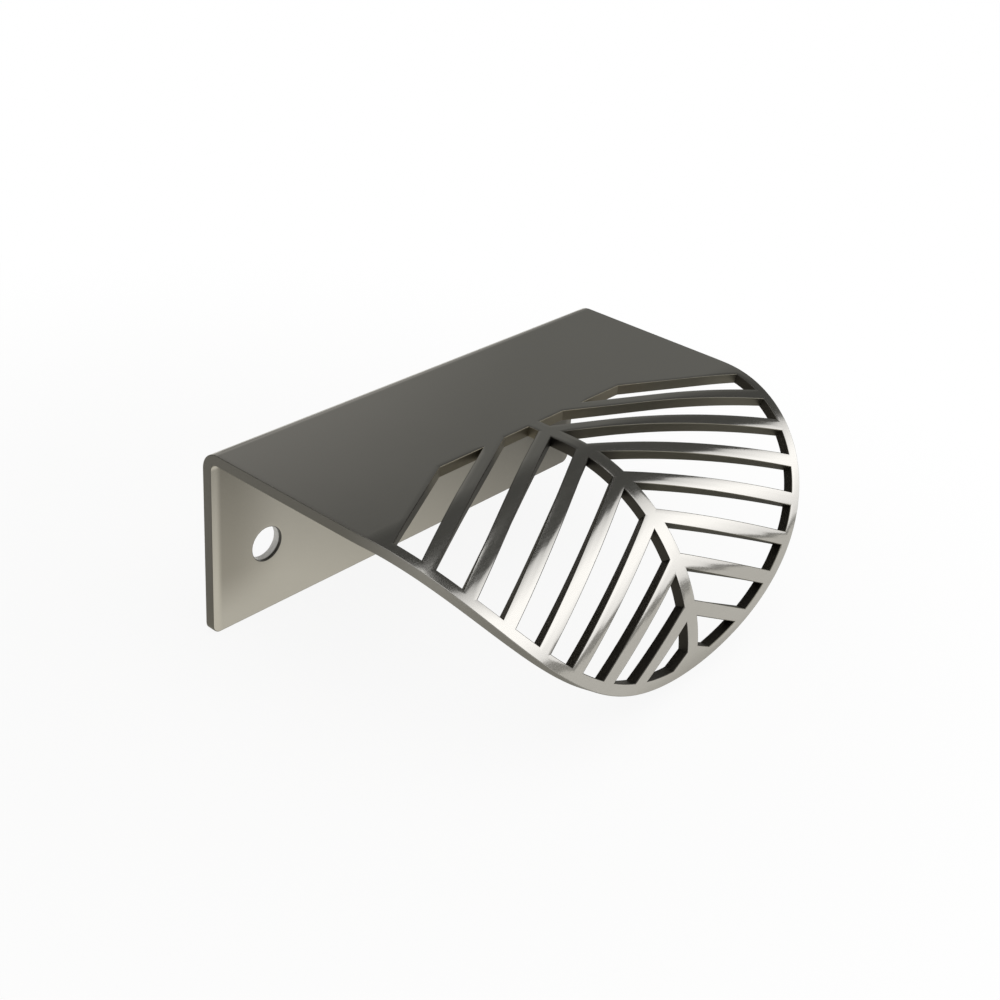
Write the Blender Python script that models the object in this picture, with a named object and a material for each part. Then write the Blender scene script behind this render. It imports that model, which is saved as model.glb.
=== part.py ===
# Leaf shaped pull for a drawer or a cabinet door, made of one sheet of stainless steel.
#
# The sheet is cut flat, with two screw holes and the leaf's slots, and then bent twice
# in the same sense: a tight bend parts the flange from the plate, and a wide curl turns
# the leaf down in front. The cut is a flat curve with thickness, and the two bends wrap
# it round the sheet's middle line.
#
# Metres, +Z up, +X along the bend, the leaf towards -Y. The origin lies on the flange's
# inner face, midway between the two screw holes.

import bpy
import bmesh
from math import atan2, cos, hypot, pi, radians, sin, tan

# Overall sizes
WIDTH = 0.0600              # along the bend
HEIGHT = 0.0220             # flange, from its foot to the plate's top
DEPTH = 0.0420              # from the flange's back to the front of the curl

# Sheet and its bends
SHEET = 0.0012              # thickness
BEND_RADIUS = 0.0010        # inside the bend between flange and plate
CURL_RADIUS = 0.0178        # inside the curl of the leaf
FOOT_CORNER = 0.0010        # rounding of the flange's two lower corners

# Screw holes in the flange
HOLE = 0.0040               # diameter
HOLE_INSET = 0.0075         # from the end of the flange to the hole's middle
HOLE_DROP = 0.0137          # from the plate's top down to the hole's middle

# Leaf, measured along the sheet
LEAF_LEAD = 0.0018          # the sides begin to round this far before the curl
LEAF_LENGTH = 0.0315        # from there to the tip
RIM = 0.0013                # left round the slots
MIDRIB = 0.0019             # left along the middle
BACK_LEAD = 0.0046          # the pattern's straight back edge lies this far before the curl

# Slots between the veins
SLOTS = 8                   # on each side of the midrib
SLOT = 0.00295              # width of a slot, square to the veins
VEIN = 0.00155              # width of the sheet left between two slots
VEIN_ANGLE = radians(27.0)  # between a vein and the bend
VEIN_START = 0.00315        # from the tip back to where the last slot reaches the middle
SMALLEST = 0.0000002        # a slot with less area, in square metres, is left out

# Fineness
LEAF_STEPS = 72             # along the leaf's round edge
HOLE_STEPS = 40
CORNER_STEPS = 6
BEND_STEPS = 8
CURL_STEPS = 37
SHORTEST = 0.00003          # no edge is shorter than this

# Lengths along the sheet's middle, from the flange's foot
BEND_MIDDLE = BEND_RADIUS + SHEET / 2
CURL_MIDDLE = CURL_RADIUS + SHEET / 2
FLANGE_RUN = HEIGHT - SHEET - BEND_RADIUS
PLATE_RUN = DEPTH - 2 * SHEET - BEND_RADIUS - CURL_RADIUS
CURL_START = FLANGE_RUN + BEND_MIDDLE * pi / 2 + PLATE_RUN
LEAF_START = CURL_START - LEAF_LEAD
TIP = LEAF_START + LEAF_LENGTH
BACK = CURL_START - BACK_LEAD
HOLE_RISE = HEIGHT - HOLE_DROP
CURL_TURN = (TIP - CURL_START) / CURL_MIDDLE


def arc(centre, across, along, first, last, steps):
    """Points on an ellipse, or on a circle where both half axes are the same."""
    points = []
    for i in range(steps + 1):
        angle = first + (last - first) * i / steps
        points.append((centre[0] + across * cos(angle), centre[1] + along * sin(angle)))
    return points


def blank_outline():
    """Edge of the flat sheet: square flange and plate, half an ellipse for the leaf."""
    half = WIDTH / 2
    edge = arc((half - FOOT_CORNER, FOOT_CORNER), FOOT_CORNER, FOOT_CORNER, -pi / 2, 0, CORNER_STEPS)
    edge += arc((0, LEAF_START), half, LEAF_LENGTH, 0, pi, LEAF_STEPS)
    edge += arc((FOOT_CORNER - half, FOOT_CORNER), FOOT_CORNER, FOOT_CORNER, pi, pi * 1.5, CORNER_STEPS)
    return edge


def clipped(points, level):
    """The part of a convex outline where level(point) is above zero."""
    kept = []
    for here, after in zip(points, points[1:] + points[:1]):
        a = level(here)
        b = level(after)
        if a >= 0:
            kept.append(here)
        if a * b < 0:
            share = a / (a - b)
            kept.append((here[0] + (after[0] - here[0]) * share,
                         here[1] + (after[1] - here[1]) * share))
    return kept


def area(points):
    """Area inside an outline that runs counterclockwise."""
    pairs = zip(points, points[1:] + points[:1])
    return sum(a[0] * b[1] - b[0] * a[1] for a, b in pairs) / 2


def turn(before, here, after):
    """Change of direction at a point of an outline."""
    first = atan2(here[1] - before[1], here[0] - before[0])
    second = atan2(after[1] - here[1], after[0] - here[0])
    return abs((second - first + pi) % (2 * pi) - pi)


def tidied(points):
    """The outline without its shortest edges. Of two close points the sharper one stays."""
    points = list(points)
    i = 0
    while i < len(points) and len(points) > 3:
        before, here, after, later = (points[(i + k) % len(points)] for k in (-1, 0, 1, 2))
        if hypot(after[0] - here[0], after[1] - here[1]) >= SHORTEST:
            i += 1
        elif turn(before, here, after) < turn(here, after, later):
            points.pop(i)
        else:
            points.pop((i + 1) % len(points))
    return points


def slot_outlines():
    """The slots on the right of the midrib, from the tip to the back edge."""
    half = WIDTH / 2 - RIM
    field = arc((0, LEAF_START), half, LEAF_LENGTH - RIM, 0, pi / 2, LEAF_STEPS // 2)
    if BACK < LEAF_START:
        field = [(0, BACK), (half, BACK)] + field
    else:
        field.append((0, LEAF_START))
        field = clipped(field, lambda p: p[1] - BACK)
    field = clipped(field, lambda p: p[0] - MIDRIB / 2)

    slope = tan(VEIN_ANGLE)
    pitch = (SLOT + VEIN) / cos(VEIN_ANGLE)
    slots = []
    for i in range(SLOTS):
        front = TIP - VEIN_START - i * pitch
        rear = front - SLOT / cos(VEIN_ANGLE)
        slot = clipped(field, lambda p: front + slope * p[0] - p[1])
        slot = clipped(slot, lambda p: p[1] - rear - slope * p[0])
        if len(slot) > 2 and area(slot) > SMALLEST:
            slots.append(tidied(slot))
    return slots


def cut_sheet(name, collection):
    """The flat sheet as a mesh: a flat curve with holes, as thick as the sheet."""
    curve = bpy.data.curves.new(name + "_flat", "CURVE")
    curve.dimensions = "2D"
    curve.fill_mode = "BOTH"
    curve.extrude = SHEET / 2

    def add(points):
        spline = curve.splines.new("POLY")
        spline.points.add(len(points) - 1)
        for point, (x, y) in zip(spline.points, points):
            point.co = (x, y, 0, 1)
        spline.use_cyclic_u = True

    add(blank_outline())
    for side in (-1, 1):
        middle = (side * (WIDTH / 2 - HOLE_INSET), HOLE_RISE)
        add(arc(middle, HOLE / 2, HOLE / 2, 0, 2 * pi, HOLE_STEPS)[:-1])
        for slot in slot_outlines():
            add([(side * x, y) for x, y in slot])

    flat = bpy.data.objects.new(name + "_flat", curve)
    collection.objects.link(flat)
    bpy.context.view_layer.update()
    evaluated = flat.evaluated_get(bpy.context.evaluated_depsgraph_get())
    mesh = bpy.data.meshes.new_from_object(evaluated)
    mesh.name = name
    sheet = bpy.data.objects.new(name, mesh)
    sheet.matrix_world = flat.matrix_world
    collection.objects.link(sheet)
    bpy.data.objects.remove(flat)
    bpy.data.curves.remove(curve)
    return sheet


def bend_pieces(radius, angle, steps, heading):
    """Equal straight pieces round a bend that begins at a heading."""
    step = angle / steps
    chord = 2 * radius * sin(step / 2)
    return [(radius * step, chord, heading + (i + 0.5) * step) for i in range(steps)]


def middle_line():
    """The sheet from the side, as straight pieces: length along the sheet, length in space
    and heading. Heading 0 goes up and a quarter turn goes forward, to -Y."""
    pieces = [(FLANGE_RUN, FLANGE_RUN, 0.0)]
    pieces += bend_pieces(BEND_MIDDLE, pi / 2, BEND_STEPS, 0.0)
    pieces.append((PLATE_RUN, PLATE_RUN, pi / 2))
    pieces += bend_pieces(CURL_MIDDLE, CURL_TURN, CURL_STEPS, pi / 2)
    return pieces


def bend_stations():
    """For each break of the middle line: distance along the sheet, place, and the direction
    from the middle to the outer face, longer at a break so that the thickness is kept."""
    pieces = middle_line()
    along = 0.0
    y = SHEET / 2
    z = -HOLE_RISE
    stations = []
    last = pieces[0][2]
    for length, span, heading in pieces + [(0.0, 0.0, pieces[-1][2])]:
        middle = (last + heading) / 2
        reach = 1 / cos((heading - last) / 2)
        stations.append((along, y, z, reach * cos(middle), reach * sin(middle)))
        along += length
        y -= span * sin(heading)
        z += span * cos(heading)
        last = heading
    return stations


def bend_sheet(sheet):
    """Scores the flat mesh at every station and folds it there."""
    stations = bend_stations()
    bm = bmesh.new()
    bm.from_mesh(sheet.data)
    bmesh.ops.remove_doubles(bm, verts=bm.verts, dist=0.000002)
    for station in stations[1:-1]:
        everything = bm.verts[:] + bm.edges[:] + bm.faces[:]
        bmesh.ops.bisect_plane(bm, geom=everything, dist=SHORTEST / 2,
                               plane_co=(0, station[0], 0), plane_no=(0, 1, 0))
    for vert in bm.verts:
        k = 0
        while k < len(stations) - 2 and vert.co.y > stations[k + 1][0]:
            k += 1
        here = stations[k]
        after = stations[k + 1]
        share = (vert.co.y - here[0]) / (after[0] - here[0])
        y, z, out_y, out_z = (a + (b - a) * share for a, b in zip(here[1:], after[1:]))
        vert.co = (vert.co.x, y + vert.co.z * out_y, z + vert.co.z * out_z)
    bmesh.ops.recalc_face_normals(bm, faces=bm.faces)
    if bm.calc_volume(signed=True) < 0:
        bmesh.ops.reverse_faces(bm, faces=bm.faces)
    bm.to_mesh(sheet.data)
    bm.free()


def satin_steel():
    """Stainless steel with a satin finish."""
    material = bpy.data.materials.new("satin_stainless_steel")
    material.use_nodes = True
    shader = material.node_tree.nodes["Principled BSDF"]
    shader.inputs["Base Color"].default_value = (0.60, 0.585, 0.56, 1)
    shader.inputs["Metallic"].default_value = 1.0
    shader.inputs["Roughness"].default_value = 0.30
    return material


def build():
    for old in list(bpy.data.objects):
        bpy.data.objects.remove(old, do_unlink=True)
    collection = bpy.data.collections.new("leaf_shaped_pull")
    bpy.context.scene.collection.children.link(collection)

    pull = cut_sheet("leaf_pull", collection)
    bend_sheet(pull)
    pull.data.shade_smooth()
    pull.data.set_sharp_from_angle(angle=radians(30))
    pull.data.materials.clear()
    pull.data.materials.append(satin_steel())


build()
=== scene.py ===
from math import atan2, ceil, cos, hypot, pi, radians, sin, tan

import bmesh
import bpy
from bpy.props import FloatProperty, FloatVectorProperty, IntProperty, PointerProperty
from mathutils import Matrix, Vector
from mathutils.geometry import delaunay_2d_cdt


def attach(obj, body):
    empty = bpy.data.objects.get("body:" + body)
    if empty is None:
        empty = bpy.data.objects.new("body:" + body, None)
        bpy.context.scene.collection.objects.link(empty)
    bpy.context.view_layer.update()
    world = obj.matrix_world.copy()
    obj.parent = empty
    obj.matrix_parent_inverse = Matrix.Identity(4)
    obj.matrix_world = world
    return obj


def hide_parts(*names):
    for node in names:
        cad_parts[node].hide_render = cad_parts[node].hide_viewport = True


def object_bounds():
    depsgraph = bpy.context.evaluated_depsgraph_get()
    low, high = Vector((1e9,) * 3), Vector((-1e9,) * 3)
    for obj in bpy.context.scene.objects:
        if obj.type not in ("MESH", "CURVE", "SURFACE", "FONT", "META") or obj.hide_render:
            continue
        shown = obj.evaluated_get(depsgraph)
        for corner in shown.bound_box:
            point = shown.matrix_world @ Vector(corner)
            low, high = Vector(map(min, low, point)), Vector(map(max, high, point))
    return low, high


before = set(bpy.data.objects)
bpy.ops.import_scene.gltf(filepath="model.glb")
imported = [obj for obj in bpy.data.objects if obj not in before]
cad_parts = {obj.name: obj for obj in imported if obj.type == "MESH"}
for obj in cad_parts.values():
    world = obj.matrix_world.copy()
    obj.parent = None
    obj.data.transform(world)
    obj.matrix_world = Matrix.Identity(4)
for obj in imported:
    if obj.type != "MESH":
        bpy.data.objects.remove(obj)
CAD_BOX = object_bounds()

bl_info = {
    "name": "Leaf Shaped Pull",
    "version": (1, 0, 0),
    "blender": (4, 5, 0),
    "location": "View3D > Sidebar > Leaf Pull",
    "description": "Makes a leaf shaped cabinet pull of bent sheet steel and a studio for it",
    "category": "Add Mesh",
}

# Fineness of the mesh
LEAF_STEPS = 240                # along the leaf's round edge
FIELD_STEPS = 140               # along one side of the round edge that the slots keep to
CORNER_STEPS = 10               # round a lower corner of the flange
HOLE_STEPS = 72                 # round a screw hole
BEND_STEPS = 16                 # round the bend between flange and plate
CURL_STEPS = 96                 # round the curl of the leaf
SHORTEST = 0.00004              # no edge of a slot is shorter than this
ROUND = radians(20)             # an outline that turns by less than this is round there
CUT_TOLERANCE = 1e-7            # points closer than this to a cut are taken as on it
FILL_TOLERANCE = 1e-9           # points of the outlines closer than this are one point
LESS_HOLES = 5                  # the filling leaves out the outlines inside the first one

# How far a corner of an outline moves at most when the outline shrinks, in times the shift
BREAK_REACH = 2.6               # for the broken edges
POLISH_REACH = 1.0              # for the polished strips

# Material slots of the sheet
FACE, OUTER_EDGE, SLOT_WALL, BORE_WALL = range(4)

# Fine lines and cloudiness of the steel
LINE_STRETCH = (0.04, 1.0, 1.0)     # the lines run along the bend
LINE_TINT = 0.06                    # how far the lines change the colour
CLOUD_SCALE = 90.0                  # clouds in a metre
CLOUD_TINT = 0.05                   # how far the clouds change the colour
MEAN_TINT = 0.98                    # the colour's share where neither changes it
CLOUD_ROUGHNESS = 0.04              # how far the clouds change the roughness

# Cards: from the first height above the floor down to the second, a card turns to this share
# of its bright value
CARD_FOOT = (0.36, 0.08)
CARD_FOOT_SHARE = 0.7

# Floor
FLOOR_HALF = 3.0                        # half its side
FLOOR_SHADE_MIDDLE = (-0.022, 0.002)    # its tone in the steel is shaded away from here
FLOOR_SHADE_REACH = (0.008, 0.058)      # between these distances
FLOOR_WHITE_REACH = (0.03, 0.11)        # the camera sees pure white beyond these distances

# Camera, where the photograph was taken from
CAMERA_PLACE = (-0.11737, -0.10801, 0.08778)
CAMERA_RIGHT = (0.65789787, -0.74947576, 0.07386799)
CAMERA_UP = (0.32801794, 0.37345943, 0.86771671)

WHITE = (1.0, 1.0, 1.0)


def length(name, description, default):
    """A length of the pull, in metres."""
    return FloatProperty(name=name, description=description, default=default,
                         min=0.0, unit="LENGTH", subtype="DISTANCE", precision=5)


def share(name, description, default):
    """A value from 0 to 1."""
    return FloatProperty(name=name, description=description, default=default,
                         min=0.0, max=1.0, subtype="FACTOR")


def colour(name, description, default):
    """A colour in linear values."""
    return FloatVectorProperty(name=name, description=description, default=default,
                               size=3, min=0.0, max=1.0, subtype="COLOR")


class LeafPullSizes(bpy.types.PropertyGroup):
    """Sizes of the bent sheet, the same as those of the solid part."""

    width: length("Width", "Length along the bend", CAD_BOX[1].x - CAD_BOX[0].x)
    height: length("Height", "From the flange's foot to the plate's top", CAD_BOX[1].z - CAD_BOX[0].z)
    depth: length("Depth", "From the flange's back to the front of the curl", 0.042)
    thickness: length("Thickness", "Thickness of the sheet", 0.0012)
    bend_radius: length("Bend Radius", "Inside the bend of the flange", 0.0010)
    curl_radius: length("Curl Radius", "Inside the curl of the leaf", 0.0178)
    foot_corner: length("Foot Corner", "Rounding of the flange's lower corners", 0.0010)
    hole: length("Hole", "Diameter of a screw hole", 0.0040)
    hole_inset: length("Hole Inset", "From the flange's end to the middle of a hole", 0.0075)
    hole_drop: length("Hole Drop", "From the plate's top to the middle of a hole", 0.0137)
    leaf_lead: length("Leaf Lead", "The sides round in this far before the curl", 0.0018)
    leaf_length: length("Leaf Length", "From there to the tip, along the sheet", 0.0315)
    rim: length("Rim", "Sheet left round the slots", 0.0013)
    midrib: length("Midrib", "Sheet left along the middle of the leaf", 0.0019)
    back_lead: length("Back Lead", "The slots begin this far before the curl", 0.0046)
    slot: length("Slot", "Width of a slot, square to the veins", 0.00295)
    vein: length("Vein", "Width of the sheet between two slots", 0.00155)
    vein_start: length("Vein Start", "From the tip back to where the last slot reaches the middle", 0.00315)
    vein_angle: FloatProperty(name="Vein Angle", description="Between a vein and the bend",
                              default=radians(27.0), min=0.0, max=radians(80.0), subtype="ANGLE")
    slots: IntProperty(name="Slots", description="Slots on each side of the midrib",
                       default=8, min=0, max=40)
    edge_break: length("Edge Break", "Rounding of every cut edge", 0.00008)
    polish: length("Polish", "How far in from a cut edge the polish rounds the faces", 0.0006)
    lean: FloatProperty(name="Lean", description="How far the polish turns a face beside a slot",
                        default=radians(5.5), min=0.0, max=radians(30.0), subtype="ANGLE")
    rim_lean: FloatProperty(name="Rim Lean",
                            description="How far the polish turns a face at the outer edge",
                            default=radians(1.0), min=0.0, max=radians(30.0), subtype="ANGLE")


class LeafPullFinish(bpy.types.PropertyGroup):
    """Look of the steel."""

    face: colour("Face", "Colour of the satin faces", (0.60, 0.585, 0.555))
    face_roughness: share("Face Roughness", "Roughness of the satin faces", 0.145)
    # Painted shade and a painted highlight on the flange near its ends
    painted_shade_near_end: colour("Beside End", "Colour of the flange near its ends", (0.40, 0.385, 0.355))
    painted_highlight_at_end: colour("Flange End", "Colour of the flange right beside its ends", (0.67, 0.65, 0.61))
    edge: colour("Edge", "Colour of the ground outer edge", (0.42, 0.41, 0.385))
    # Painted shade on the ground edge round the flange
    painted_shade_rear_edge: colour("Rear Edge", "Colour of the ground edge round the flange", (0.18, 0.173, 0.155))
    edge_roughness: share("Edge Roughness", "Roughness of the ground outer edge", 0.45)
    wall: colour("Wall", "Colour of the slots' cut walls", (0.070, 0.066, 0.058))
    # Painted reflections on the slots' cut walls, next to the plate and where they face forward
    painted_reflection_rear_wall: colour("Rear Wall", "Colour of the cut walls next to the plate", (0.22, 0.20, 0.155))
    painted_reflection_front_wall: colour("Front Wall", "Colour of the cut walls that face forward", (0.20, 0.19, 0.155))
    wall_roughness: share("Wall Roughness", "Roughness of the slots' cut walls", 0.42)
    bore: colour("Bore", "Colour of the screw holes' walls", (0.90, 0.89, 0.87))
    bore_metallic: share("Bore Metallic", "How metallic the screw holes' matt walls look", 0.1)


class LeafPullStudio(bpy.types.PropertyGroup):
    """Floor, cards, lamps and camera."""

    lens: FloatProperty(name="Lens", description="Focal length on a 36 mm sensor",
                        default=55.82, min=10.0, max=300.0, unit="CAMERA")
    floor: colour("Floor", "Colour of the floor's paint", (0.86, 0.855, 0.84))
    # The floor as the steel sees it: under the pull, a painted glow near the flange's foot and a painted
    # shadow further out
    floor_glow: colour("Floor Glow", "Even part of the floor as the steel sees it", (0.76, 0.735, 0.65))
    floor_shade: colour("Floor Shade", "The same under the pull's far end", (0.14, 0.136, 0.12))
    glow_share: share("Glow Share", "Share of the even part in front of the pull", 0.30)
    under_share: share("Under Share", "Share of the even part under the pull", 0.85)
    white_share: share("White Share", "Share of pure white in the floor as the camera sees it", 0.90)
    room_wall: colour("Room Wall", "Colour of the dim room near the floor", (0.180, 0.180, 0.169))
    room_back: colour("Room Back", "Colour of the dim room behind the pull", (0.335, 0.329, 0.312))
    room_ceiling: colour("Room Ceiling", "Colour of the dim room overhead", (0.080, 0.080, 0.075))


class Signal:
    """A value in a node tree. Sums, differences and products of it add Math nodes."""

    def __init__(self, tree, socket):
        self.tree = tree
        self.socket = socket

    def math(self, operation, first, second):
        node = self.tree.nodes.new("ShaderNodeMath")
        node.operation = operation
        for socket, value in zip(node.inputs, (first, second)):
            if isinstance(value, Signal):
                self.tree.links.new(value.socket, socket)
            else:
                socket.default_value = value
        return Signal(self.tree, node.outputs[0])

    def __add__(self, other):
        return self.math("ADD", self, other)

    def __radd__(self, other):
        return self.math("ADD", other, self)

    def __sub__(self, other):
        return self.math("SUBTRACT", self, other)

    def __rsub__(self, other):
        return self.math("SUBTRACT", other, self)

    def __mul__(self, other):
        return self.math("MULTIPLY", self, other)

    def __rmul__(self, other):
        return self.math("MULTIPLY", other, self)


class Tree:
    """The nodes of one material or of the world."""

    def __init__(self, owner):
        owner.use_nodes = True
        self.tree = owner.node_tree
        self.tree.nodes.clear()

    def add(self, kind, settings=None, sockets=None, output=0):
        """Adds a node, sets it up and returns one of its outputs."""
        node = self.tree.nodes.new(kind)
        for name, value in (settings or {}).items():
            setattr(node, name, value)
        for name, value in (sockets or {}).items():
            if isinstance(value, Signal):
                self.tree.links.new(value.socket, node.inputs[name])
            else:
                node.inputs[name].default_value = value
        return Signal(self.tree, node.outputs[output]) if node.outputs else None


class Tones:
    """Where on a surface a tone goes. Each method gives a share that rises smoothly from 0 to
    1: between two places along an axis, or between two ways that the surface faces."""

    def __init__(self, tree):
        self.tree = tree
        self.place = tree.add("ShaderNodeTexCoord", output="Object")
        self.facing = tree.add("ShaderNodeTexCoord", output="Normal")

    def along(self, axis, start, end):
        return self.share(self.place, axis, start, end)

    def turned(self, axis, start, end):
        return self.share(self.facing, axis, start, end)

    def share(self, vector, axis, start, end):
        value = self.tree.add("ShaderNodeSeparateXYZ", None, {"Vector": vector}, "XYZ".index(axis))
        return smooth(self.tree, value, start, end)


def smooth(tree, value, start, end):
    """0 at the start, 1 at the end and smooth between them."""
    return tree.add("ShaderNodeMapRange", {"interpolation_type": "SMOOTHSTEP"},
                    {"Value": value, "From Min": start, "From Max": end})


def straight(tree, value, start, end):
    """0 at the start, 1 at the end and even between them."""
    return tree.add("ShaderNodeMapRange", None, {"Value": value, "From Min": start, "From Max": end})


def steel(name, base, roughness, grain, streak, relief, patches=None, metallic=1.0):
    """Stainless steel with fine lines.

    grain is the size of the lines in metres, streak how far they change the roughness and
    relief how deep they are in metres. patches gives further colours and where they go.
    metallic is 1 for bare steel."""
    material = bpy.data.materials.new(name)
    tree = Tree(material)
    tones = Tones(tree)
    stretched = tree.add("ShaderNodeMapping", {"vector_type": "POINT"},
                         {"Vector": tones.place, "Scale": LINE_STRETCH})
    lines = tree.add("ShaderNodeTexNoise", {"noise_dimensions": "3D"},
                     {"Vector": stretched, "Scale": 1.0 / grain, "Detail": 3.0, "Roughness": 0.6})
    cloud = tree.add("ShaderNodeTexNoise", {"noise_dimensions": "3D"},
                     {"Vector": tones.place, "Scale": CLOUD_SCALE, "Detail": 2.0, "Roughness": 0.5})
    shade = MEAN_TINT + (lines - 0.5) * LINE_TINT + (cloud - 0.5) * CLOUD_TINT
    tint = (*base, 1.0)
    for other, factor in (patches(tones) if patches else ()):
        tint = tree.add("ShaderNodeMix", {"data_type": "RGBA"},
                        {0: factor, 6: tint, 7: (*other, 1.0)}, 2)
    tint = tree.add("ShaderNodeVectorMath", {"operation": "SCALE"}, {"Vector": tint, "Scale": shade})
    rough = roughness + (lines - 0.5) * streak + (cloud - 0.5) * CLOUD_ROUGHNESS
    bump = tree.add("ShaderNodeBump", None, {"Height": lines, "Strength": 0.3, "Distance": relief})
    shader = tree.add("ShaderNodeBsdfPrincipled", None,
                      {"Base Color": tint, "Metallic": metallic, "Roughness": rough, "Normal": bump})
    tree.add("ShaderNodeOutputMaterial", None, {"Surface": shader})
    return material


def satin_face(finish):
    """The faces. The flange has painted shade near its ends, but not at its foot, and a painted
    highlight right beside its ends."""
    def patches(tones):
        flange = tones.along("Y", -0.0008, -0.0004)
        above_foot = tones.along("Z", -0.0075, -0.0010)
        near_right, near_left = (tones.along("X", side * 0.0190, side * 0.0280) for side in (1, -1))
        right, left = (tones.along("X", side * 0.0286, side * 0.0294) for side in (1, -1))
        # Painted shade near the flange's ends and a painted highlight right beside them
        return ((finish.painted_shade_near_end, flange * above_foot * (near_right + near_left)),
                (finish.painted_highlight_at_end, flange * (right + left)))
    return steel("satin_face", finish.face, finish.face_roughness,
                 grain=0.00012, streak=0.10, relief=0.000002, patches=patches)


def ground_edge(finish):
    """The outer edge, with painted shade behind, so darker there than round the leaf's tip."""
    def patches(tones):
        # Painted shade on the edge behind
        return ((finish.painted_shade_rear_edge, tones.along("Y", -0.0330, -0.0180)),)
    return steel("ground_edge", finish.edge, finish.edge_roughness,
                 grain=0.00010, streak=0.12, relief=0.000004, patches=patches)


def cut_wall(finish):
    """Walls of the slots: dark, with a painted reflection where they face forward on the right half,
    and a brownish painted reflection next to the plate."""
    def patches(tones):
        forward = tones.turned("Y", -0.15, -0.75)
        right = tones.along("X", 0.0005, 0.0040)
        # Painted reflections: where the walls face forward on the right half, and next to the plate
        return ((finish.painted_reflection_front_wall, forward * right),
                (finish.painted_reflection_rear_wall, tones.along("Y", -0.0200, -0.0176)))
    return steel("cut_wall", finish.wall, finish.wall_roughness,
                 grain=0.00008, streak=0.16, relief=0.000006, patches=patches)


def matt_bore(finish):
    """Wall of a screw hole: pale and matt, dark for its first third."""
    def patches(tones):
        return ((finish.wall, tones.along("Y", 0.00045, 0.00030)),)
    return steel("matt_bore", finish.bore, finish.face_roughness,
                 grain=0.00008, streak=0.10, relief=0.000003, patches=patches,
                 metallic=finish.bore_metallic)


def ellipse(centre, across, along, first, last, steps):
    """Points on part of an ellipse."""
    turns = [first + (last - first) * i / steps for i in range(steps + 1)]
    return [(centre[0] + across * cos(a), centre[1] + along * sin(a)) for a in turns]


def clipped(points, level):
    """The part of a convex outline where level(point) is above zero."""
    kept = []
    for here, after in zip(points, points[1:] + points[:1]):
        a = level(here)
        b = level(after)
        if a >= 0:
            kept.append(here)
        if a * b < 0:
            part = a / (a - b)
            kept.append((here[0] + (after[0] - here[0]) * part,
                         here[1] + (after[1] - here[1]) * part))
    return kept


def turning(before, here, after):
    """Change of direction at a point of an outline."""
    first = atan2(here[1] - before[1], here[0] - before[0])
    second = atan2(after[1] - here[1], after[0] - here[0])
    return (second - first + pi) % (2 * pi) - pi


def tidied(points):
    """The outline without its shortest edges. Of two close points the sharper one stays."""
    points = list(points)
    i = 0
    while i < len(points) and len(points) > 3:
        before, here, after, later = (points[(i + k) % len(points)] for k in (-1, 0, 1, 2))
        if hypot(after[0] - here[0], after[1] - here[1]) >= SHORTEST:
            i += 1
        elif abs(turning(before, here, after)) < abs(turning(here, after, later)):
            points.pop(i)
        else:
            points.pop((i + 1) % len(points))
    return points


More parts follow.
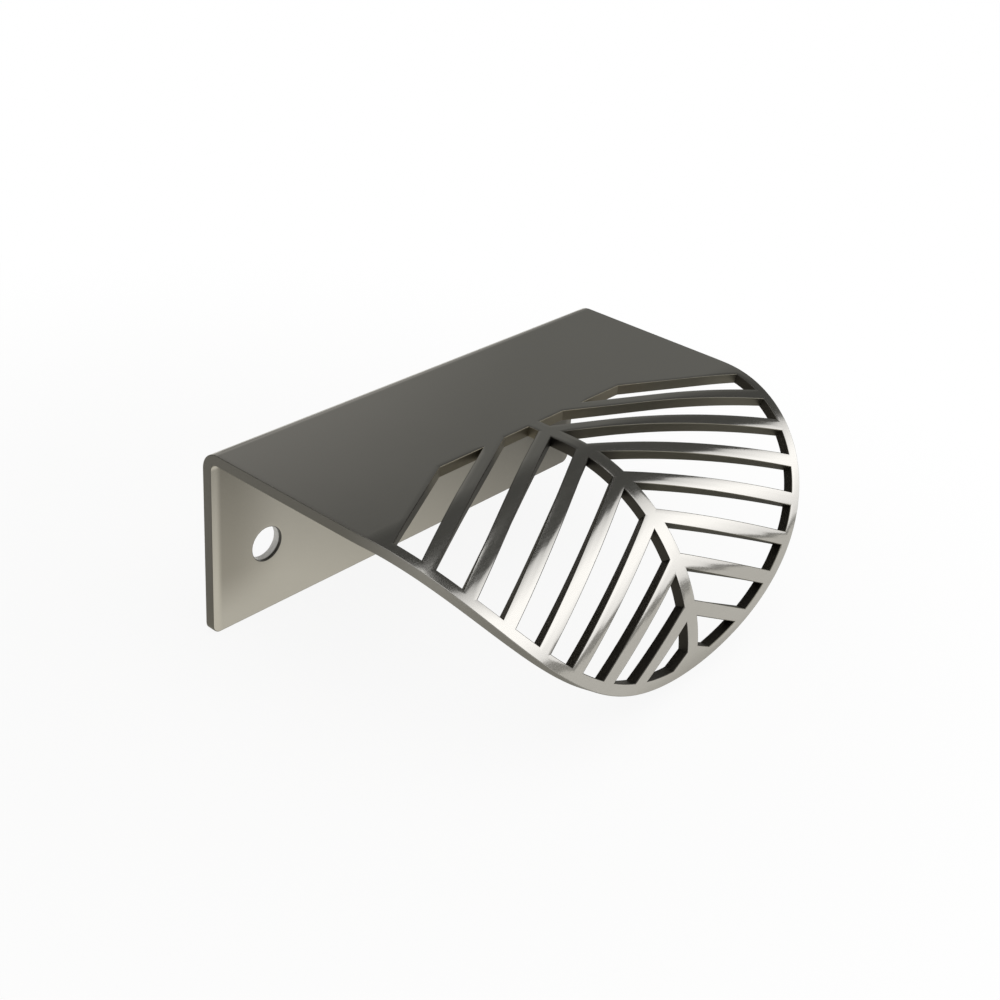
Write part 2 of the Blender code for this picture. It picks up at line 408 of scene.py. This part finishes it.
class FlatSheet:
    """The sheet as it is cut, and the way it is bent. Lengths run from the flange's foot."""

    def __init__(self, sizes):
        self.s = sizes
        self.bend = sizes.bend_radius + sizes.thickness / 2
        self.curl = sizes.curl_radius + sizes.thickness / 2
        self.bend_start = sizes.height - sizes.thickness - sizes.bend_radius
        self.bend_end = self.bend_start + self.bend * pi / 2
        plate = sizes.depth - 2 * sizes.thickness - sizes.bend_radius - sizes.curl_radius
        self.curl_start = self.bend_end + plate
        self.leaf_start = self.curl_start - sizes.leaf_lead
        self.tip = self.leaf_start + sizes.leaf_length
        self.hole_rise = sizes.height - sizes.hole_drop

    def outline(self):
        """The sheet's edge: square flange and plate, half an ellipse for the leaf."""
        half = self.s.width / 2
        r = self.s.foot_corner
        edge = ellipse((half - r, r), r, r, -pi / 2, 0, CORNER_STEPS)
        edge += ellipse((0, self.leaf_start), half, self.s.leaf_length, 0, pi, LEAF_STEPS)
        edge += ellipse((r - half, r), r, r, pi, pi * 1.5, CORNER_STEPS)
        return edge

    def holes(self):
        """The two screw holes."""
        r = self.s.hole / 2
        x = self.s.width / 2 - self.s.hole_inset
        return [ellipse((side * x, self.hole_rise), r, r, 0, 2 * pi, HOLE_STEPS)[:-1]
                for side in (-1, 1)]

    def slots(self):
        """Slots of both sides, each an outline that runs counterclockwise."""
        s = self.s
        half = s.width / 2 - s.rim
        back = self.curl_start - s.back_lead
        field = ellipse((0, self.leaf_start), half, s.leaf_length - s.rim, 0, pi / 2, FIELD_STEPS)
        field = [(0, back), (half, back)] + field
        field = clipped(field, lambda p: p[0] - s.midrib / 2)
        slope = tan(s.vein_angle)
        pitch = (s.slot + s.vein) / cos(s.vein_angle)
        found = []
        for i in range(s.slots):
            front = self.tip - s.vein_start - i * pitch
            rear = front - s.slot / cos(s.vein_angle)
            slot = clipped(field, lambda p: front + slope * p[0] - p[1])
            slot = clipped(slot, lambda p: p[1] - rear - slope * p[0])
            if len(slot) > 2:
                slot = tidied(slot)
                found.append(slot)
                found.append([(-x, y) for x, y in reversed(slot)])
        return found

    def heading(self, along):
        """Direction of the sheet at a length: 0 is up, a quarter turn is forward."""
        turn = min(max(along - self.bend_start, 0.0), self.bend_end - self.bend_start) / self.bend
        return turn + max(along - self.curl_start, 0.0) / self.curl

    def place(self, x, along, out):
        """Where a point of the flat sheet goes. out is its distance from the sheet's middle to
        the outer face. The flat sheet is seen from that face, so its X points the other way."""
        s = self.s
        y = s.thickness / 2
        z = min(along, self.bend_start) - self.hole_rise
        h = self.heading(along)
        if along > self.bend_start:
            h_bend = min(h, pi / 2)
            y -= self.bend * (1 - cos(h_bend))
            z += self.bend * sin(h_bend)
        if along > self.bend_end:
            y -= min(along, self.curl_start) - self.bend_end
        if along > self.curl_start:
            y -= self.curl * sin(h - pi / 2)
            z -= self.curl * (1 - cos(h - pi / 2))
        return Vector((-x, y + out * cos(h), z + out * sin(h)))

    def face_out(self, flat, along):
        """A direction in the flat sheet, turned with the sheet."""
        h = self.heading(along)
        return Vector((-flat[0], flat[2] * cos(h) - flat[1] * sin(h),
                       flat[1] * cos(h) + flat[2] * sin(h)))


def side_directions(points):
    """For each edge of an outline, the outward direction at its start and at its end.
    They are shared where the outline is round and differ at a corner."""
    count = len(points)
    square = []
    for i in range(count):
        x0, y0 = points[i]
        x1, y1 = points[(i + 1) % count]
        run = hypot(x1 - x0, y1 - y0)
        square.append(((y1 - y0) / run, (x0 - x1) / run))
    starts = []
    for i in range(count):
        a = square[i - 1]
        b = square[i]
        if abs(turning(points[i - 1], points[i], points[(i + 1) % count])) < ROUND:
            run = hypot(a[0] + b[0], a[1] + b[1])
            mean = ((a[0] + b[0]) / run, (a[1] + b[1]) / run)
            starts.append((mean, mean))
        else:
            starts.append((a, b))
    return [(starts[i][1], starts[(i + 1) % count][0]) for i in range(count)]


def shrunk(points, amount, reach):
    """An outline moved inwards, for a counterclockwise outline, by the same amount all round.
    A corner moves further, but by reach times the amount at most."""
    moved = []
    count = len(points)
    for i in range(count):
        x0, y0 = points[i - 1]
        x1, y1 = points[i]
        x2, y2 = points[(i + 1) % count]
        a = hypot(x1 - x0, y1 - y0)
        b = hypot(x2 - x1, y2 - y1)
        inward = ((y0 - y1) / a + (y1 - y2) / b, (x1 - x0) / a + (x2 - x1) / b)
        span = hypot(*inward)
        move = amount * min(2 / span, reach) / span
        moved.append((x1 + inward[0] * move, y1 + inward[1] * move))
    return moved


def split(points, longest):
    """The outline with points added, so that no edge is longer than a length."""
    more = []
    for here, after in zip(points, points[1:] + points[:1]):
        pieces = ceil(hypot(after[0] - here[0], after[1] - here[1]) / longest)
        more += [(here[0] + (after[0] - here[0]) * i / pieces,
                  here[1] + (after[1] - here[1]) * i / pieces) for i in range(pieces)]
    return more


def edge_rows(sizes, lean):
    """The rings of points round a cut edge, from the upper face to the lower one. Each has how
    far in from the edge it lies, how far out from the sheet's middle, and where the surface
    faces there: a quarter turn is square to the sheet and 0 is away from the edge."""
    half = sizes.thickness / 2
    r = sizes.edge_break
    upper = [(sizes.polish, half, pi / 2), (r, half, pi / 2 - lean)]
    upper += [(r * (1 - cos(a)), half - r + r * sin(a), a) for a in (pi / 3, pi / 6, 0.0)]
    return upper + [(inset, -out, -a) for inset, out, a in reversed(upper)]


def cut_edge(bm, flat_direction, sizes, points, sign, material_index):
    """The wall, broken edges and polished strips along one outline. sign is 1 for the sheet's
    own outline and -1 for an opening. Returns the first and the last ring of points."""
    points = split(points, 2 * sizes.polish)
    count = len(points)
    rows = edge_rows(sizes, sizes.rim_lean if sign > 0 else sizes.lean)
    directions = side_directions(points)
    rings = []
    for inset, out, _ in rows:
        ring = shrunk(points, inset * sign, POLISH_REACH if inset == sizes.polish else BREAK_REACH)
        rings.append([bm.verts.new((x, y, out)) for x, y in ring])
    for upper, lower, upper_row, lower_row in zip(rings, rings[1:], rows, rows[1:]):
        for i in range(count):
            j = (i + 1) % count
            corners = [(upper[i], 0, upper_row[2]), (lower[i], 0, lower_row[2]),
                       (lower[j], 1, lower_row[2]), (upper[j], 1, upper_row[2])]
            if sign < 0:
                corners.reverse()
            face = bm.faces.new([corner[0] for corner in corners])
            face.material_index = FACE if upper_row[1] == lower_row[1] else material_index
            for loop, (_, end, angle) in zip(face.loops, corners):
                dx, dy = directions[i][end]
                loop[flat_direction] = (sign * dx * cos(angle), sign * dy * cos(angle), sin(angle))
    return rings[0], rings[-1]


def cut_mesh(sheet):
    """The flat sheet with broken edges. Each corner of each face keeps its flat direction."""
    bm = bmesh.new()
    flat_direction = bm.loops.layers.float_vector.new("flat_direction")
    outlines = [(sheet.outline(), 1.0, OUTER_EDGE)]
    outlines += [(hole, -1.0, BORE_WALL) for hole in sheet.holes()]
    outlines += [(slot, -1.0, SLOT_WALL) for slot in sheet.slots()]
    top, bottom, loops = [], [], []
    for points, sign, material_index in outlines:
        first, last = cut_edge(bm, flat_direction, sheet.s, points, sign, material_index)
        loops.append(list(range(len(top), len(top) + len(first))))
        top += first
        bottom += last

    filled = delaunay_2d_cdt([Vector(vert.co.xy) for vert in top], [], loops,
                             LESS_HOLES, FILL_TOLERANCE)
    sources = [ids[0] for ids in filled[3]]
    if not filled[2]:
        raise RuntimeError("The faces of the flat sheet could not be filled")
    for corners in filled[2]:
        ring = [sources[i] for i in corners]
        for side, face in ((1, bm.faces.new([top[i] for i in ring])),
                           (-1, bm.faces.new([bottom[i] for i in reversed(ring)]))):
            for loop in face.loops:
                loop[flat_direction] = (0.0, 0.0, side)
    bm.normal_update()
    bmesh.ops.triangulate(bm, faces=[face for face in bm.faces if len(face.verts) > 4])
    return bm, flat_direction


def bent_mesh(sheet, name):
    """The mesh of the finished sheet, with exact directions on its bends."""
    bm, flat_direction = cut_mesh(sheet)
    stations = []
    for start, end, steps in ((sheet.bend_start, sheet.bend_end, BEND_STEPS),
                              (sheet.curl_start, sheet.tip, CURL_STEPS)):
        stations += [start + (end - start) * i / steps for i in range(steps + 1)]
    for station in stations[:-1]:
        bmesh.ops.bisect_plane(bm, geom=bm.verts[:] + bm.edges[:] + bm.faces[:], dist=CUT_TOLERANCE,
                               plane_co=(0, station, 0), plane_no=(0, 1, 0))
    mesh = bpy.data.meshes.new(name)
    directions = []
    for face in bm.faces:
        face.smooth = True
        for loop in face.loops:
            directions.append(sheet.face_out(loop[flat_direction], loop.vert.co.y).normalized())
    for vert in bm.verts:
        vert.co = sheet.place(*vert.co)
    bm.to_mesh(mesh)
    bm.free()
    mesh.normals_split_custom_set(directions)
    mesh.attributes.remove(mesh.attributes["flat_direction"])
    return mesh


class LEAFPULL_OT_sheet(bpy.types.Operator):
    """Makes the pull: one steel sheet, cut flat and bent twice"""

    bl_idname = "leafpull.sheet"
    bl_label = "Leaf Pull"

    def execute(self, context):
        finish = context.scene.leaf_pull_finish
        sheet = FlatSheet(context.scene.leaf_pull_sizes)
        mesh = bent_mesh(sheet, "leaf_pull_sheet")
        for finished in (satin_face, ground_edge, cut_wall, matt_bore):
            mesh.materials.append(finished(finish))
        pull = bpy.data.objects.new("leaf_pull_sheet", mesh)
        context.scene.collection.objects.link(pull)
        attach(pull, "root")
        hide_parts("leaf_pull")
        return {"FINISHED"}


def emission(tree, shade, strength=1.0):
    """A glowing surface."""
    return tree.add("ShaderNodeEmission", None, {"Color": (*shade, 1.0), "Strength": strength})


def mixed(tree, factor, first, second):
    """The first surface where the factor is 0, the second where it is 1."""
    return tree.add("ShaderNodeMixShader", None, {0: factor, 1: first, 2: second})


def card(name, turn, distance, outline, dim, bright, fade):
    """An upright glowing card that only the steel and the floor see.

    turn is its direction from +Y towards +X. outline gives its corners as places across it
    and heights above the floor. It goes from dim to bright down and to the right, between
    the two values in fade of the place across less the height, and is less bright at its foot."""
    mesh = bpy.data.meshes.new(name)
    mesh.from_pydata([(x, 0.0, z) for x, z in outline], [], [range(len(outline))])
    piece = bpy.data.objects.new(name, mesh)
    bpy.context.scene.collection.objects.link(piece)
    piece.location = (distance * sin(turn), distance * cos(turn), CAD_BOX[0].z)
    piece.rotation_euler = (0.0, 0.0, -turn)
    material = bpy.data.materials.new(name)
    tree = Tree(material)
    place = tree.add("ShaderNodeTexCoord", output="Object")
    across = tree.add("ShaderNodeSeparateXYZ", None, {"Vector": place}, 0)
    height = tree.add("ShaderNodeSeparateXYZ", None, {"Vector": place}, 2)
    lower = straight(tree, across - height, *fade)
    foot = straight(tree, height, *CARD_FOOT)
    surface = mixed(tree, lower, emission(tree, WHITE, dim), emission(tree, WHITE, bright))
    surface = mixed(tree, foot, surface, emission(tree, WHITE, CARD_FOOT_SHARE * bright))
    tree.add("ShaderNodeOutputMaterial", None, {"Surface": surface})
    mesh.materials.append(material)
    piece.visible_camera = False
    piece.visible_shadow = False


def make_floor(studio):
    """A pale floor. The camera sees it almost white, with the shadow of the pull. The steel
    sees it with a tone of its own: a painted glow near the flange's foot and a painted shadow under the
    pull's far end."""
    low = CAD_BOX[0].z
    mesh = bpy.data.meshes.new("floor")
    corners = [(x * FLOOR_HALF, y * FLOOR_HALF, low) for x, y in ((-1, -1), (1, -1), (1, 1), (-1, 1))]
    mesh.from_pydata(corners, [], [(0, 1, 2, 3)])
    floor = bpy.data.objects.new("floor", mesh)
    bpy.context.scene.collection.objects.link(floor)
    material = bpy.data.materials.new("pale_floor")
    tree = Tree(material)
    seen = tree.add("ShaderNodeLightPath", output="Is Camera Ray")
    mirrored = tree.add("ShaderNodeLightPath", output="Is Glossy Ray")
    paint = tree.add("ShaderNodeBsdfDiffuse", None, {"Color": (*studio.floor, 1.0)})
    tones = Tones(tree)
    # Under the pull, as a rectangle with soft sides. There the steel sees a painted glow near the flange's
    # foot, turning to a painted shadow further out
    under = tones.along("Y", -0.048, -0.037) * tones.along("Y", 0.008, 0.001)
    under = under * tones.along("X", -0.060, -0.036) * tones.along("X", 0.085, 0.060)
    away = tree.add("ShaderNodeVectorMath", {"operation": "DISTANCE"},
                    {0: tones.place, 1: (*FLOOR_SHADE_MIDDLE, low)}, "Value")
    shaded = under * straight(tree, away, *FLOOR_SHADE_REACH)
    glow = mixed(tree, shaded, emission(tree, studio.floor_glow), emission(tree, studio.floor_shade))
    share_of_glow = studio.glow_share + under * (studio.under_share - studio.glow_share)
    surface = mixed(tree, mirrored * share_of_glow, paint, glow)
    white = studio.white_share + smooth(tree, away, *FLOOR_WHITE_REACH) * (1 - studio.white_share)
    surface = mixed(tree, seen * white, surface, emission(tree, WHITE))
    tree.add("ShaderNodeOutputMaterial", None, {"Surface": surface})
    mesh.materials.append(material)


def make_lamp(name, power, size, location, target):
    """A square lamp that looks at a place."""
    data = bpy.data.lights.new(name, "AREA")
    data.shape = "SQUARE"
    data.size = size
    data.energy = power
    lamp = bpy.data.objects.new(name, data)
    lamp.location = location
    lamp.rotation_euler = (Vector(target) - Vector(location)).to_track_quat("-Z", "Y").to_euler()
    lamp.visible_camera = False
    bpy.context.scene.collection.objects.link(lamp)


def make_room(studio):
    """A white background for the camera. The steel sees a dim room, lighter in front and
    behind than at the sides, and darker overhead."""
    world = bpy.data.worlds.new("room")
    bpy.context.scene.world = world
    tree = Tree(world)
    seen = tree.add("ShaderNodeLightPath", output="Is Camera Ray")
    direction = tree.add("ShaderNodeTexCoord", output="Generated")
    back = tree.add("ShaderNodeSeparateXYZ", None, {"Vector": direction}, output=1)
    up = tree.add("ShaderNodeSeparateXYZ", None, {"Vector": direction}, output=2)
    # The shares run over the squared and the plain part of a direction of length 1
    backwards = straight(tree, back * back, 0.33, 0.50)
    upwards = smooth(tree, up, 0.40, 0.62)

    def light(shade):
        return tree.add("ShaderNodeBackground", None, {"Color": (*shade, 1.0)})

    walls = mixed(tree, backwards, light(studio.room_wall), light(studio.room_back))
    room = mixed(tree, upwards, walls, light(studio.room_ceiling))
    tree.add("ShaderNodeOutputWorld", None, {"Surface": mixed(tree, seen, room, light(WHITE))})


def make_camera(studio):
    """The camera, in the place and direction of the photograph's."""
    data = bpy.data.cameras.new("camera")
    data.sensor_width = 36.0
    data.lens = studio.lens
    data.clip_start = 0.01
    data.clip_end = 20.0
    view = bpy.data.objects.new("camera", data)
    right = Vector(CAMERA_RIGHT)
    up = Vector(CAMERA_UP)
    turned = Matrix((right, up, right.cross(up))).transposed()
    view.matrix_world = Matrix.LocRotScale(Vector(CAMERA_PLACE), turned, None)
    bpy.context.scene.collection.objects.link(view)
    bpy.context.scene.camera = view


class LEAFPULL_OT_studio(bpy.types.Operator):
    """Sets the floor, the cards, the lamp, the room and the camera"""

    bl_idname = "leafpull.studio"
    bl_label = "Studio"

    def execute(self, context):
        studio = context.scene.leaf_pull_studio
        make_floor(studio)
        card("side_card", turn=radians(139), distance=0.85,
             outline=[(-0.60, 0.01), (-0.18, 0.03), (0.0, 0.130), (0.60, 0.130), (0.60, 1.35),
                      (-0.46, 1.35), (-0.46, 0.95), (-0.60, 0.84)],
             dim=0.85, bright=1.68, fade=(-1.45, -0.75))
        card("fill_card", turn=radians(275), distance=1.10,
             outline=[(-0.60, 0.10), (0.60, 0.10), (0.60, 1.20), (-0.60, 1.20)],
             dim=0.5, bright=0.7, fade=(-1.6, 0.4))
        make_lamp("overhead_lamp", power=16.0, size=2.0,
                  location=(-0.1, -0.2, 1.5), target=(0.0, -0.02, 0.0))
        make_room(studio)
        make_camera(studio)
        context.scene.view_settings.view_transform = "Standard"
        return {"FINISHED"}


class LEAFPULL_PT_panel(bpy.types.Panel):
    """Buttons for the pull and its studio, with their sizes and finish"""

    bl_idname = "LEAFPULL_PT_panel"
    bl_label = "Leaf Pull"
    bl_space_type = "VIEW_3D"
    bl_region_type = "UI"
    bl_category = "Leaf Pull"

    def draw(self, context):
        column = self.layout.column()
        for operator in (LEAFPULL_OT_sheet, LEAFPULL_OT_studio):
            column.operator(operator.bl_idname)
        for group in (context.scene.leaf_pull_sizes, context.scene.leaf_pull_finish,
                      context.scene.leaf_pull_studio):
            box = column.box()
            for name in type(group).__annotations__:
                box.prop(group, name)


CLASSES = (LeafPullSizes, LeafPullFinish, LeafPullStudio,
           LEAFPULL_OT_sheet, LEAFPULL_OT_studio, LEAFPULL_PT_panel)


def register():
    for item in CLASSES:
        bpy.utils.register_class(item)
    bpy.types.Scene.leaf_pull_sizes = PointerProperty(type=LeafPullSizes)
    bpy.types.Scene.leaf_pull_finish = PointerProperty(type=LeafPullFinish)
    bpy.types.Scene.leaf_pull_studio = PointerProperty(type=LeafPullStudio)


def unregister():
    del bpy.types.Scene.leaf_pull_studio
    del bpy.types.Scene.leaf_pull_finish
    del bpy.types.Scene.leaf_pull_sizes
    for item in reversed(CLASSES):
        bpy.utils.unregister_class(item)


def main():
    """Makes the pull and its studio."""
    register()
    bpy.ops.leafpull.sheet()
    bpy.ops.leafpull.studio()


if __name__ == "__main__":
    main()
